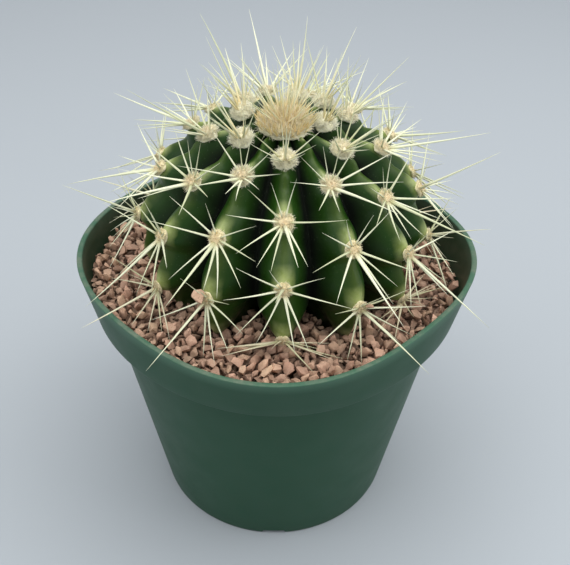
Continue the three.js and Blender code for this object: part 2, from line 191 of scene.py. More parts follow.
def buildMottle():
    # broad cloudy change between 0 and 1, with Contrast round the middle
    group, given, result = startGroup("mottle", {"Scale": 60.0, "Detail": 4.0, "Contrast": 1.0})
    cloud = addNode(group, "ShaderNodeTexNoise", Roughness=0.6)
    feed(group, given, cloud, "Vector", "Scale", "Detail")
    centred = addMath(group, "SUBTRACT", cloud.outputs["Fac"], 0.5)
    spread = addMath(group, "MULTIPLY", centred, given.outputs["Contrast"])
    group.links.new(addMath(group, "ADD", spread, 0.5, clamp=True), result.inputs["Value"])
    return group


def buildSpecks():
    # small separate round marks, 1 on a mark and 0 between them
    group, given, result = startGroup("specks", {"Scale": 900.0, "Size": 0.25, "Share": 0.5})
    cells = addNode(group, "ShaderNodeTexVoronoi", Randomness=1.0)
    feed(group, given, cells, "Vector", "Scale")
    inside = addMath(group, "LESS_THAN", cells.outputs["Distance"], given.outputs["Size"])
    split = group.nodes.new("ShaderNodeSeparateColor")
    group.links.new(cells.outputs["Color"], split.inputs[0])
    chosen = addMath(group, "LESS_THAN", split.outputs[0], given.outputs["Share"])
    group.links.new(addMath(group, "MULTIPLY", inside, chosen), result.inputs["Value"])
    return group


def buildGrain():
    # fine relief made of two sizes of grain, for a Bump node's height
    group, given, result = startGroup("fine grain", {"Scale": 800.0, "Coarse": 0.5})
    small = addNode(group, "ShaderNodeTexNoise", Detail=5.0, Roughness=0.65)
    large = addNode(group, "ShaderNodeTexNoise", Detail=2.0, Roughness=0.5)
    feed(group, given, small, "Vector", "Scale")
    feed(group, given, large, "Vector")
    group.links.new(addMath(group, "MULTIPLY", given.outputs["Scale"], 0.22), large.inputs["Scale"])
    coarse = addMath(group, "MULTIPLY", large.outputs["Fac"], given.outputs["Coarse"])
    group.links.new(addMath(group, "ADD", small.outputs["Fac"], coarse), result.inputs["Value"])
    return group


def buildDust():
    # settled dust: most on what faces up, broken by a cloud
    group, given, result = startGroup("settled dust", {"Scale": 90.0, "Amount": 0.5})
    shape = group.nodes.new("ShaderNodeNewGeometry")
    split = group.nodes.new("ShaderNodeSeparateXYZ")
    group.links.new(shape.outputs["Normal"], split.inputs[0])
    up = addMath(group, "MAXIMUM", split.outputs["Z"], 0.0)
    cloud = addNode(group, "ShaderNodeTexNoise", Detail=6.0, Roughness=0.7)
    feed(group, given, cloud, "Vector", "Scale")
    broken = remap(group, cloud.outputs["Fac"], 0.42, 0.66)
    settled = addMath(group, "MULTIPLY", up, broken)
    amount = addMath(group, "MULTIPLY", settled, given.outputs["Amount"], clamp=True)
    group.links.new(amount, result.inputs["Value"])
    return group


groups = {"mottle": buildMottle(), "specks": buildSpecks(), "grain": buildGrain(), "dust": buildDust()}


def place(tree, name, vector, **numbers):
    node = tree.nodes.new("ShaderNodeGroup")
    node.node_tree = groups[name]
    for key, value in numbers.items():
        node.inputs[key].default_value = value
    tree.links.new(vector, node.inputs["Vector"])
    return node.outputs["Value"]


def startMaterial(name):
    material = bpy.data.materials.new(name)
    material.use_nodes = True
    tree = material.node_tree
    shader = tree.nodes["Principled BSDF"]
    where = tree.nodes.new("ShaderNodeTexCoord").outputs["Object"]
    return material, tree, shader, where


def addBump(tree, shader, height, strength, distance):
    bump = tree.nodes.new("ShaderNodeBump")
    bump.inputs["Strength"].default_value = strength
    bump.inputs["Distance"].default_value = distance
    tree.links.new(height, bump.inputs["Height"])
    tree.links.new(bump.outputs["Normal"], shader.inputs["Normal"])


# camera, floor and light

cameraPlan = {
    "place": (0.0, -200.3 * mm, 228.9 * mm),
    "target": (2.6 * mm, 0.0, 73.7 * mm),
    "roll": 1.09,
    "lens": 52.14,
    "sensor": 36.0,
}


def makeCamera():
    camera = bpy.data.objects.new("camera", bpy.data.cameras.new("camera"))
    scene.collection.objects.link(camera)
    camera.data.sensor_width = cameraPlan["sensor"]
    camera.data.lens = cameraPlan["lens"]
    camera.data.clip_start = 0.01
    camera.location = cameraPlan["place"]
    towards = (Vector(cameraPlan["target"]) - camera.location).normalized()
    turn = towards.to_track_quat("-Z", "Y").to_matrix()
    roll = Matrix.Rotation(math.radians(cameraPlan["roll"]), 3, "Z")
    camera.rotation_euler = (turn @ roll).to_euler()
    scene.camera = camera


roomPlan = {
    "floorSize": 2.5,
    "floorColour": (0.43, 0.465, 0.5, 1.0),
    "floorRoughness": 0.85,
    "airColour": (0.92, 0.96, 1.0, 1.0),
    "airStrength": 0.5,
    "lightTarget": (0.0, 0.0, 0.09),
}


def makeFloor():
    form = bmesh.new()
    bmesh.ops.create_grid(form, x_segments=2, y_segments=2, size=roomPlan["floorSize"])
    mesh = bpy.data.meshes.new("floor")
    form.to_mesh(mesh)
    form.free()
    floor = bpy.data.objects.new("floor", mesh)
    scene.collection.objects.link(floor)
    material, _, shader, _ = startMaterial("pale floor")
    shader.inputs["Base Color"].default_value = roomPlan["floorColour"]
    shader.inputs["Roughness"].default_value = roomPlan["floorRoughness"]
    shader.inputs["Specular IOR Level"].default_value = 0.2
    mesh.materials.append(material)


lights = {
    "above": {"place": (0.04, -0.02, 0.78), "size": 1.0, "watts": 6.6, "colour": (1.0, 0.99, 0.96)},
    "left": {"place": (-0.7, -0.3, 0.5), "size": 0.6, "watts": 1.2, "colour": (0.98, 0.99, 1.0)},
    "right": {"place": (0.75, -0.1, 0.45), "size": 0.6, "watts": 1.9, "colour": (0.99, 0.99, 1.0)},
}


def makeLights():
    for name, plan in lights.items():
        data = bpy.data.lights.new(name, "AREA")
        data.size = plan["size"]
        data.energy = plan["watts"]
        data.color = plan["colour"]
        light = bpy.data.objects.new(name, data)
        light.location = plan["place"]
        towards = Vector(roomPlan["lightTarget"]) - light.location
        light.rotation_euler = towards.to_track_quat("-Z", "Y").to_euler()
        scene.collection.objects.link(light)
    world = bpy.data.worlds.new("soft room")
    world.use_nodes = True
    background = world.node_tree.nodes["Background"]
    background.inputs["Color"].default_value = roomPlan["airColour"]
    background.inputs["Strength"].default_value = roomPlan["airStrength"]
    scene.world = world


makeCamera()
makeFloor()
makeLights()
print("camera, floor and light ready")


# pot

potPlan = {
    "rimSquareness": 0.0335,
    "bandFootSquareness": 0.0117,
    "bandHeight": 15 * mm,
    "bandTaper": 2.9 * mm,
    "shoulderStep": 4 * mm,
    "footRadius": 38 * mm,
    "lip": 1.6 * mm,
    "wall": 1.2 * mm,
    "floorThickness": 1.4 * mm,
    "footHeight": 2 * mm,
    "footRing": 2.4 * mm,
    "drains": 4,
    "drainWidth": 8.2 * mm,
    "drainLength": 7 * mm,
    "notchRise": 0.9,  # shares of the foot's height
    "notchSlope": 0.4,
    "holeShare": 0.7,
    "around": 256,
    "drainMiddle": 2 * mm,
    "footSlope": 0.8 * mm,
    "roundings": [0, 0.5, 0.4, 1.0, 0.9, 0.7, 0.55, 0.45, 0.8, 0.8, 1.2, 0],
    "rowSpacing": 4 * mm,
    "unevenness": 0.16 * mm,
    "lipDepth": 0.7 * mm,
    "creaseAngle": 38,
    "deep": (0.005, 0.054, 0.023),
    "light": (0.009, 0.068, 0.031),
    # painted highlight along the rim top
    "lipHighlight": (0.085, 0.19, 0.125),
    # painted shade on the inner wall
    "insideShade": (0.022, 0.033, 0.016),
    "dirtColour": (0.3, 0.27, 0.22),
}
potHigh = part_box("pot")[1]
potHeight = potHigh[2]
rimRadius = potHigh[0] / (1 + potPlan["rimSquareness"])
bandFoot = potHeight - potPlan["bandHeight"]
bandFootRadius = rimRadius - potPlan["bandTaper"]
shoulderRadius = bandFootRadius - potPlan["shoulderStep"]
floorTop = potPlan["footHeight"] + potPlan["floorThickness"]


def squarenessAt(z):
    up = (z - bandFoot) / potPlan["bandHeight"]
    band = mix(potPlan["bandFootSquareness"], potPlan["rimSquareness"], up)
    below = potPlan["bandFootSquareness"] * np.clip(z / bandFoot, 0, 1)
    return np.where(z > bandFoot, band, below)


def innerRadiusAt(z):
    up = (z - bandFoot) / potPlan["bandHeight"]
    band = mix(bandFootRadius - potPlan["wall"], rimRadius - potPlan["lip"], up)
    below = mix(potPlan["footRadius"], shoulderRadius, z / bandFoot) - potPlan["wall"]
    return np.where(z > bandFoot + potPlan["wall"], band, below)


def roundCorner(before, corner, after, size, steps=4):
    # points of a small rounding in place of a profile corner
    corner = np.array(corner, float)
    first = corner + unit(np.array(before, float) - corner) * size
    last = corner + unit(np.array(after, float) - corner) * size
    parts = np.linspace(0, 1, steps + 1)
    return [(1 - t) ** 2 * first + 2 * t * (1 - t) * corner + t * t * last for t in parts]


def potProfile():
    # radius and height of each corner, from the underside's middle out, up and back inside
    wall, ring, foot = potPlan["wall"], potPlan["footRing"], potPlan["footRadius"]
    ledge = bandFoot + wall
    corners = [
        (potPlan["drainMiddle"], potPlan["footHeight"]),
        (foot - ring - potPlan["footSlope"], potPlan["footHeight"]),
        (foot - ring, 0),
        (foot, 0),
        (shoulderRadius, bandFoot - 0.2 * mm),
        (bandFootRadius, bandFoot),
        (rimRadius, potHeight),
        (rimRadius - potPlan["lip"], potHeight - 0.05 * mm),
        (float(innerRadiusAt(ledge + 0.01 * mm)), ledge),
        (float(innerRadiusAt(ledge - 0.01 * mm)), ledge - 0.4 * mm),
        (float(innerRadiusAt(floorTop)), floorTop),
        (potPlan["drainMiddle"], floorTop),
    ]
    profile = []
    for i, (corner, size) in enumerate(zip(corners, potPlan["roundings"])):
        if size == 0:
            profile.append(np.array(corner))
        else:
            profile += roundCorner(corners[i - 1], corner, corners[i + 1], size * mm)
    # long walls get rows in between, so that the outline blends evenly from round to square
    filled = [profile[0]]
    for point in profile[1:]:
        gap = np.linalg.norm(point - filled[-1])
        count = int(gap // potPlan["rowSpacing"])
        start = filled[-1]
        for k in range(1, count + 1):
            filled.append(mix(start, point, k / (count + 1)))
        filled.append(point)
    return np.array(filled)


def cutPiece(piece, cutter):
    change = piece.modifiers.new("cut", "BOOLEAN")
    change.object = cutter
    change.operation = "DIFFERENCE"
    change.solver = "EXACT"
    bpy.context.view_layer.objects.active = piece
    bpy.ops.object.modifier_apply(modifier="cut")


def faceOutwards(piece, turn=0.0):
    form = bmesh.new()
    form.from_mesh(piece.data)
    bmesh.ops.recalc_face_normals(form, faces=form.faces)
    bmesh.ops.rotate(form, verts=form.verts, cent=(0, 0, 0), matrix=Matrix.Rotation(turn, 3, "Z"))
    form.to_mesh(piece.data)
    form.free()


def prism(name, outline, low, high, turn):
    # an outline in X and Z pushed along Y, then turned round the pot's axis
    points = [(x, y, z) for y in (low, high) for x, z in outline]
    n = len(outline)
    faces = [tuple(range(n))[::-1], tuple(range(n, 2 * n))]
    faces += [(i, (i + 1) % n, n + (i + 1) % n, n + i) for i in range(n)]
    piece = makePiece(name, points, faces, smooth=False)
    faceOutwards(piece, turn)
    return piece


def cutDrains(pot):
    half, top = potPlan["drainWidth"] / 2, potPlan["footHeight"]
    reach = potPlan["footRadius"]
    slope, rise, below = half - potPlan["notchSlope"] * top, potPlan["notchRise"] * top, -1 * mm
    notch = [(-half, below), (half, below), (half, 0), (slope, rise), (-slope, rise), (-half, 0)]
    side = half * potPlan["holeShare"]
    hole = [(-side, below), (side, below), (side, 3 * top), (-side, 3 * top)]
    for i in range(potPlan["drains"]):
        turn = 2 * math.pi * i / potPlan["drains"]
        inner = reach - potPlan["footRing"] - potPlan["drainLength"]
        outer = reach - potPlan["footRing"] - 1.5 * mm
        for outline, low, high in ((notch, inner + 2 * mm, reach + 2 * mm), (hole, inner - 1.5 * mm, outer)):
            cutter = prism("drain cutter", outline, low, high, turn)
            cutPiece(pot, cutter)
            bpy.data.objects.remove(cutter)


def plasticMaterial():
    material, tree, shader, where = startMaterial("green pot plastic")
    cloud = place(tree, "mottle", where, Scale=35.0, Detail=3.0, Contrast=0.55)
    colour = mixColour(tree, cloud, potPlan["deep"], potPlan["light"])
    # painted highlight: the rim top is turned paler green
    colour = tint(tree, colour, readValue(tree, "lip"), 0.55, potPlan["lipHighlight"])
    # painted shade: the inner wall is turned darker
    colour = tint(tree, colour, readValue(tree, "inside"), 0.6, potPlan["insideShade"])
    dust = place(tree, "dust", where, Scale=160.0, Amount=0.35)
    film = place(tree, "mottle", where, Scale=240.0, Detail=6.0, Contrast=2.6)
    dirt = addMath(tree, "ADD", dust, scaled(tree, film, 0.03), clamp=True)
    colour = mixColour(tree, dirt, colour, potPlan["dirtColour"])
    tree.links.new(colour, shader.inputs["Base Color"])
    rough = remap(tree, place(tree, "mottle", where, Scale=120.0, Detail=6.0, Contrast=1.5), 0, 1, 0.38, 0.52)
    rough = addMath(tree, "ADD", rough, scaled(tree, dirt, 0.5))
    tree.links.new(rough, shader.inputs["Roughness"])
    shader.inputs["Specular IOR Level"].default_value = 0.27
    grain = place(tree, "grain", where, Scale=1500.0, Coarse=0.6)
    addBump(tree, shader, grain, 0.12, 0.1 * mm)
    return material


def makePot():
    profile = potProfile()
    n, m = potPlan["around"], len(profile)
    angle = np.arange(n) / n * 2 * math.pi
    r = profile[:, 0][:, None] * (1 + squarenessAt(profile[:, 1])[:, None] * np.cos(4 * angle)[None, :])
    z = np.repeat(profile[:, 1][:, None], n, axis=1)
    # slight unevenness of a thin moulding, most at the rim
    loose = np.clip(z / potHeight, 0, 1) ** 2 * potPlan["unevenness"]
    r = r + loose * (np.sin(3 * angle + 0.7) + 0.6 * np.sin(5 * angle + 2.1))[None, :]
    points = np.stack([r * np.cos(angle), r * np.sin(angle), z], axis=2).reshape(-1, 3)
    faces = [(i * n + j, i * n + (j + 1) % n, (i + 1) * n + (j + 1) % n, (i + 1) * n + j)
             for i in range(m - 1) for j in range(n)]
    faces = [f[::-1] for f in faces] if profile[1, 1] > profile[-1, 1] else faces
    faces.append(tuple(range(n))[::-1])
    faces.append(tuple(range((m - 1) * n, m * n)))
    top = profile[:, 1] > potHeight - potPlan["lipDepth"]
    peak = int(np.argmax(profile[:, 1]))
    # the lip mask marks the rim top for its painted highlight
    lip = np.repeat(np.where(top, 1.0, 0.0)[:, None], n, axis=1)
    # the inside mask marks the inner wall for its painted shade
    inside = np.repeat((np.arange(m) > peak + 4).astype(float)[:, None], n, axis=1)
    pot = makePiece("pot_shell", points, faces, {"lip": lip, "inside": inside})
    faceOutwards(pot)
    cutDrains(pot)
    creaseEdges(pot, potPlan["creaseAngle"])
    pot.data.materials.append(plasticMaterial())
    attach(pot, "root")
    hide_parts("pot")
    print("pot:", len(pot.data.polygons), "faces")


makePot()


# shape of the plant

plantPlan = {
    "growingRoom": 13.6 * mm,
    "bodyRise": 36.8 * mm,
    "bodyDrop": 24 * mm,
    "equatorRise": 6.1 * mm,
    "fullness": 2.14,
    "offset": 1.7 * mm,
    "lean": 4.9,
    "ribs": 13,
    "valleyShare": 0.62,
    "noseHeight": 2.4 * mm,
    "noseBack": 0.26,
    "sharpness": 1.15,
    "widening": 0.35,
    "footNarrowing": 0.9,
    "footDeepening": 0.7,
    "ridge": 0.5,
    "ridgePower": 1.35,
    "noseFadeIn": 15 * mm,
    "widestPhase": 0.76,
    "lumpHeight": 2.5 * mm,
    "lumpPlace": 4.2 * mm,
    "lumpWidth": 2.4 * mm,
    "lumpsFrom": (6 * mm, 13 * mm),
    "lumpsTo": (20 * mm, 38 * mm),
    "stray": 0.8,
    "rowsShown": 3.92,
    "firstAreole": 10.4 * mm,
    "gritDepth": 6 * mm,
    "gritFallRight": 2.2 * mm,
    "gritFallBack": 2.4 * mm,
    "ribStart": [0.345, 0.887, 0.452, 0, 0.458, 0.315, 0.22, 0.69, 0.405, 0.095, 0.607, 0.19, 0.744],
    "areolesOnRib": [4, 3, 4, 4, 4, 4, 4, 3, 4, 4, 3, 4, 3],
    "lowestAreole": 1.2 * mm,
    "padYoung": 2.9 * mm,
    "padOld": 1.7 * mm,
    "padGap": 0.35 * mm,
}
equator = potHeight + plantPlan["equatorRise"]
bodyRadius = rimRadius - potPlan["lip"] - plantPlan["growingRoom"]
ribCount = plantPlan["ribs"]
leanPivot = np.array([plantPlan["offset"], 0, equator])
leanTurn = np.array(Matrix.Rotation(math.radians(plantPlan["lean"]), 3, "X"))


def makeOutline(steps=2400):
    angle = np.linspace(0, math.pi, steps + 1)
    power = 2 / plantPlan["fullness"]
    upper = angle <= math.pi / 2
    sine, cosine = np.abs(np.sin(angle)), np.abs(np.cos(angle))
    r = np.where(upper, bodyRadius * sine ** power, bodyRadius * sine)
    rise, drop = plantPlan["bodyRise"] * cosine ** power, plantPlan["bodyDrop"] * cosine
    z = np.where(upper, equator + rise, equator - drop)
    length = np.concatenate([[0], np.cumsum(np.hypot(np.diff(r), np.diff(z)))])
    return r, z, length


outlineR, outlineZ, outlineLength = makeOutline()
gritLine = outlineLength[np.where(outlineZ > potHeight - plantPlan["gritDepth"])[0][-1]]
widestLine = outlineLength[np.where(outlineZ > equator)[0][-1]]
areolePitch = (gritLine - plantPlan["firstAreole"]) / plantPlan["rowsShown"]


def outlineAt(length):
    return np.interp(length, outlineLength, outlineR), np.interp(length, outlineLength, outlineZ)


def outlineNormal(length):
    step = 0.5 * mm
    r1, z1 = outlineAt(np.minimum(length + step, outlineLength[-1]))
    r0, z0 = outlineAt(np.maximum(length - step, 0))
    size = np.maximum(np.hypot(r1 - r0, z1 - z0), 1e-12)
    return -(z1 - z0) / size, (r1 - r0) / size


def ribAngle(rib):
    rib = np.asarray(rib)
    stray = np.radians(plantPlan["stray"]) * np.sin(2.4 * (rib % ribCount))
    return -math.pi / 2 + rib / ribCount * 2 * math.pi + stray


def ribOffset(rib):
    start = np.array(plantPlan["ribStart"])[np.asarray(rib) % ribCount]
    return plantPlan["firstAreole"] + start * areolePitch


def ribPhase(rib, length):
    phase = (length - ribOffset(rib)) / areolePitch
    return phase - np.floor(phase)


def noseSwell(phase):
    back = plantPlan["noseBack"]
    falling = np.cos(phase / back * math.pi)
    rising = -np.cos((phase - back) / (1 - back) * math.pi)
    return np.where(phase < back, falling, rising)


def uprightPoint(rib, across, length):
    # across runs from -1 in one valley over the crest at 0 to 1 in the next valley
    r, z = outlineAt(length)
    normalR, normalZ = outlineNormal(length)
    phase = ribPhase(rib, length)
    swell = noseSwell(phase)
    fade = np.clip(length / plantPlan["noseFadeIn"], 0, 1) ** 2
    widening = plantPlan["widening"] * np.cos(2 * math.pi * (phase - plantPlan["widestPhase"])) * fade
    low = np.clip((length - widestLine) / (gritLine - widestLine), 0, 1)
    sharpness = plantPlan["sharpness"] - widening + plantPlan["footNarrowing"] * low
    rounded = np.maximum(np.cos(np.abs(across) * math.pi / 2), 0) ** sharpness
    crest = mix(rounded, 1 - np.abs(across) ** plantPlan["ridgePower"], plantPlan["ridge"])
    valley = plantPlan["valleyShare"] * (1 + plantPlan["footDeepening"] * low) * 2 * math.pi * r / ribCount
    inwards = valley * (1 - crest) + plantPlan["noseHeight"] * fade * (1 - swell) * 0.5 * crest
    # the youngest swellings stand highest just past their areole
    past = np.exp(-((phase * areolePitch - plantPlan["lumpPlace"]) / plantPlan["lumpWidth"]) ** 2)
    youngest = fadeIn(length, *plantPlan["lumpsFrom"]) * (1 - fadeIn(length, *plantPlan["lumpsTo"]))
    inwards = inwards - plantPlan["lumpHeight"] * past * youngest * crest ** 1.5
    radius = np.maximum(r - normalR * inwards, 0)
    gap = ribAngle(rib + np.sign(across)) - ribAngle(rib)
    gap = gap - np.round(gap / (2 * math.pi)) * 2 * math.pi
    angle = ribAngle(rib) + np.abs(across) * gap / 2
    return np.stack([
        plantPlan["offset"] + radius * np.cos(angle),
        radius * np.sin(angle),
        z - normalZ * inwards,
    ], axis=-1)


def bodyPoint(rib, across, length):
    # the whole plant leans about the middle of its widest level
    return (uprightPoint(rib, across, length) - leanPivot) @ leanTurn.T + leanPivot


def gritTop(x, y):
    right = np.clip(x / rimRadius, -1, 1)
    back = np.clip(y / rimRadius, -1, 1)
    fall = plantPlan["gritFallRight"] * right
    return potHeight - plantPlan["gritDepth"] - fall - plantPlan["gritFallBack"] * back


def findAreoles():
    found = []
    for rib in range(ribCount):
        for row in range(plantPlan["areolesOnRib"][rib]):
            length = float(ribOffset(rib)) + row * areolePitch
            point = bodyPoint(rib, 0.0, length)
            while point[2] < gritTop(point[0], point[1]) + plantPlan["lowestAreole"]:
                length -= 0.2 * mm
                point = bodyPoint(rib, 0.0, length)
            normalR, normalZ = outlineNormal(length)
            angle = float(ribAngle(rib))
            out = leanTurn @ np.array([normalR * math.cos(angle), normalR * math.sin(angle), normalZ])
            right = leanTurn @ np.array([-math.sin(angle), math.cos(angle), 0.0])
            first = plantPlan["firstAreole"]
            age = float(np.clip((length - first) / (gritLine - first), 0, 1))
            found.append({
                "rib": rib, "row": row, "node": f"spines_rib{rib + 1:02d}_{row + 1}", "point": point,
                "out": out, "right": right, "up": np.cross(out, right), "age": age,
                "pad": mix(plantPlan["padYoung"], plantPlan["padOld"], age),
            })
    return found


areoles = findAreoles()
crownAt = leanTurn @ np.array([0, 0, plantPlan["bodyRise"]]) + leanPivot
crownOut, crownUp, crownRight = leanTurn[:, 2], leanTurn[:, 1], leanTurn[:, 0]


# cactus body

skinPlan = {
    "acrossSteps": 28,
    "rows": 230,
    # painted shade in the grooves between the ribs
    "valley": (0.001, 0.004, 0.0006),
    "flank": (0.014, 0.051, 0.0035),
    # painted shade on the lower body
    "foot": (0.007, 0.026, 0.002),
    # crest and young: the crests' paler tone, brightened into a painted highlight where the crests face up
    "crest": (0.36, 0.44, 0.09),
    "young": (0.24, 0.33, 0.06),
    # painted sheen highlight on the crests
    "paintedSheen": (0.56, 0.6, 0.34),
    "pore": (0.3, 0.38, 0.22),
    "youngTo": (8 * mm, 54 * mm),
    "crowding": 0.85,
    "swelling": 0.22,
    "creasing": 0.1,
}


def skinMaterial():
    material, tree, shader, where = startMaterial("waxy cactus skin")
    crest, young, nose = (readValue(tree, key) for key in ("crest", "young", "nose"))
    cloud = place(tree, "mottle", where, Scale=170.0, Detail=5.0, Contrast=1.6)
    shifted = addMath(tree, "ADD", crest, scaled(tree, addMath(tree, "SUBTRACT", cloud, 0.5), 0.2))
    # painted shade: the skin turns near black towards the valleys between the ribs
    low = remap(tree, shifted, 0.12, 0.62)
    high = remap(tree, shifted, 0.66, 0.99)
    colour = mixColour(tree, low, skinPlan["valley"], skinPlan["flank"])
    # painted highlight: the pale crest colour, partly the crests' own paler tone, is kept mostly to the
    # up-facing shoulders just above each areole
    high = addMath(tree, "MULTIPLY", high, remap(tree, nose, 0.0, 1.0, 0.14, 1.0))
    ridge = mixColour(tree, young, skinPlan["crest"], skinPlan["young"])
    # painted shade: the lower body darkens towards the grit, and the crest highlight fades there
    foot = readValue(tree, "foot")
    colour = tint(tree, colour, foot, 0.75, skinPlan["foot"])
    high = addMath(tree, "MULTIPLY", high, remap(tree, foot, 0.0, 0.8, 1.0, 0.3))
    colour = mixColour(tree, high, colour, ridge)
    # pale painted sheen highlight along the crests, most just over the areoles
    patch = place(tree, "mottle", where, Scale=330.0, Detail=6.0, Contrast=2.4)
    edge = remap(tree, crest, 0.66, 0.98)
    paintedSheen = addMath(tree, "MULTIPLY", addMath(tree, "MULTIPLY", edge, remap(tree, nose, -0.1, 0.95)), patch)
    colour = tint(tree, colour, paintedSheen, 0.8, skinPlan["paintedSheen"])
    pores = place(tree, "specks", where, Scale=1500.0, Size=0.2, Share=0.3)
    colour = tint(tree, colour, pores, 0.1, skinPlan["pore"])
    tree.links.new(colour, shader.inputs["Base Color"])
    rough = addMath(tree, "ADD", remap(tree, cloud, 0, 1, 0.3, 0.44), remap(tree, crest, 0.0, 0.45, 0.5, 0.0))
    tree.links.new(rough, shader.inputs["Roughness"])
    shader.inputs["Specular IOR Level"].default_value = 0.27
    grain = place(tree, "grain", where, Scale=1300.0, Coarse=1.4)
    addBump(tree, shader, grain, 0.22, 0.12 * mm)
    return material


def makeBody():
    half = skinPlan["acrossSteps"] // 2
    across = np.linspace(-1, 1, 2 * half + 1)[1:]
    across = np.sign(across) * np.abs(across) ** skinPlan["crowding"]
    rib = np.repeat(np.arange(ribCount), len(across))
    across = np.tile(across, ribCount)
    rows = skinPlan["rows"]
    length = outlineLength[-1] * np.linspace(0, 1, rows + 2)[1:-1]
    n = len(rib)
    ribGrid = np.repeat(rib[None, :], rows, axis=0)
    acrossGrid = np.repeat(across[None, :], rows, axis=0)
    lengthGrid = np.repeat(length[:, None], n, axis=1)
    points = bodyPoint(ribGrid, acrossGrid, lengthGrid)
    # slow uneven growth, and faint creases across the flanks
    x, y, z = (points[..., i] / mm for i in range(3))
    swell = skinPlan["swelling"] * np.sin(0.21 * x + 0.13 * z + 1.3) * np.sin(0.19 * y - 0.17 * z)
    swell = swell + skinPlan["creasing"] * np.sin(0.55 * z + 0.4 * x)
    fade = np.clip(lengthGrid / (12 * mm), 0, 1)
    points = points + unit(points - leanPivot) * (swell * fade * mm)[..., None]
    base = leanPivot - crownOut * plantPlan["bodyDrop"]
    flat = np.concatenate([[crownAt], points.reshape(-1, 3), [base]])
    faces = [(0, 1 + j, 1 + (j + 1) % n) for j in range(n)]
    for i in range(rows - 1):
        a, b = 1 + i * n, 1 + (i + 1) * n
        faces += [(a + j, b + j, b + (j + 1) % n, a + (j + 1) % n) for j in range(n)]
    last = len(flat) - 1
    faces += [(last, last - n + (j + 1) % n, last - n + j) for j in range(n)]
    # crest runs from 1 on the crests to 0 in the valleys; the skin paints shade in the valleys and highlight
    # on the crests from it
    crest = 1 - np.abs(acrossGrid)
    young = 1 - fadeIn(lengthGrid, *skinPlan["youngTo"])
    nose = noseSwell(ribPhase(ribGrid, lengthGrid))
    # foot rises towards the grit line; the skin paints shade on the lower body from it
    foot = np.clip((lengthGrid - widestLine) / (gritLine - widestLine), 0, 1)
    values = {}
    for key, grid, ends in (("crest", crest, (1, 0)), ("young", young, (1, 0)), ("nose", nose, (0, 0)),
                            ("foot", foot, (0, 1))):
        values[key] = np.concatenate([[ends[0]], grid.ravel(), [ends[1]]])
    body = makePiece("cactus_flesh", flat, faces, values)
    body.data.materials.append(skinMaterial())
    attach(body, "root")
    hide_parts("cactus_body")
    print("cactus body:", len(body.data.polygons), "faces")


makeBody()


# tapering tubes, used for spines and felt

def sweepTubes(paths, radii, sides, flatness=1.0):
    # paths is tubes x steps x 3 and radii tubes x steps; returns points, faces, tube and step of each point
    count, steps, _ = paths.shape
    along = unit(np.gradient(paths, axis=1))
    reference = np.where(np.abs(along[:, :1, 2:3]) > 0.9, np.array([1.0, 0, 0]), np.array([0, 0, 1.0]))
    side = unit(np.cross(along, np.broadcast_to(reference, along.shape)))
    other = np.cross(along, side)
    angle = np.arange(sides) / sides * 2 * math.pi
    ring = (np.cos(angle)[None, None, :, None] * side[:, :, None, :]
            + flatness * np.sin(angle)[None, None, :, None] * other[:, :, None, :])
    points = paths[:, :, None, :] + ring * radii[:, :, None, None]
    start = (np.arange(count) * steps * sides)[:, None, None]
    row = (np.arange(steps - 1) * sides)[None, :, None]
    j = np.arange(sides)[None, None, :]
    k = (j + 1) % sides
    lower = start + row
    quads = np.stack([lower + j, lower + sides + j, lower + sides + k, lower + k], axis=-1)
    faces = [tuple(f) for f in quads.reshape(-1, 4).tolist()]
    first = (np.arange(count) * steps * sides)[:, None] + np.arange(sides)[None, :]
    final = first + (steps - 1) * sides
    faces += [tuple(f) for f in first.tolist()]
    faces += [tuple(f[::-1]) for f in final.tolist()]
    tube = np.repeat(np.arange(count), steps * sides)
    step = np.tile(np.repeat(np.linspace(0, 1, steps), sides), count)
    return points.reshape(-1, 3), faces, tube, step


# spines, one piece for each rib

spinePlan = {
    "tipCorners": 0.6,  # radians, all corners that meet in a needle's tip
    "steps": 9,
    "sides": 8,
    "flatness": 0.72,
    "bend": 0.02,
    "taperPower": 1.15,
    "thicken": 2.05,
    "footSpread": 0.62,
    "footSink": 0.35 * mm,
    "pale": (0.87, 0.88, 0.65),
    "golden": (0.92, 0.72, 0.37),
    "old": (0.55, 0.4, 0.23),
    "tip": (0.74, 0.76, 0.6),
    "foot": (0.62, 0.45, 0.2),
    "olive": (0.4, 0.44, 0.2),
}


def needlesOf(node):
    # needle tips of a cluster, with the way back from each, how long it shows and how fast it thickens
    mesh = frame["nodes"][node].data
    points = np.array([v.co[:] for v in mesh.vertices])
    keys, index = np.unique(np.round(points * 1e6).astype(int), axis=0, return_inverse=True)
    index = index.ravel()
    merged = np.zeros((len(keys), 3))
    merged[index] = points
    mesh.calc_loop_triangles()
    corners = index[np.array([t.vertices[:] for t in mesh.loop_triangles])]
    total = np.zeros(len(keys))
    for k in range(3):
        a, b, c = merged[corners[:, k]], merged[corners[:, (k + 1) % 3]], merged[corners[:, (k + 2) % 3]]
        cosine = (unit(b - a) * unit(c - a)).sum(axis=1)
        np.add.at(total, corners[:, k], np.arccos(np.clip(cosine, -1, 1)))
    tips = []
    for tip in np.where(total < spinePlan["tipCorners"])[0]:
        around = corners[(corners == tip).any(axis=1)]
        ends = merged[np.unique(around[around != tip])]
        middle = ends.mean(axis=0)
        axis = unit(middle - merged[tip])
        reach = (ends - merged[tip]) @ axis
        spread = np.linalg.norm(ends - merged[tip] - reach[:, None] * axis, axis=1)
        slope = (spread / reach).mean()
        tips.append({"tip": merged[tip], "back": axis, "reach": reach.max(), "slope": slope})
    return tips


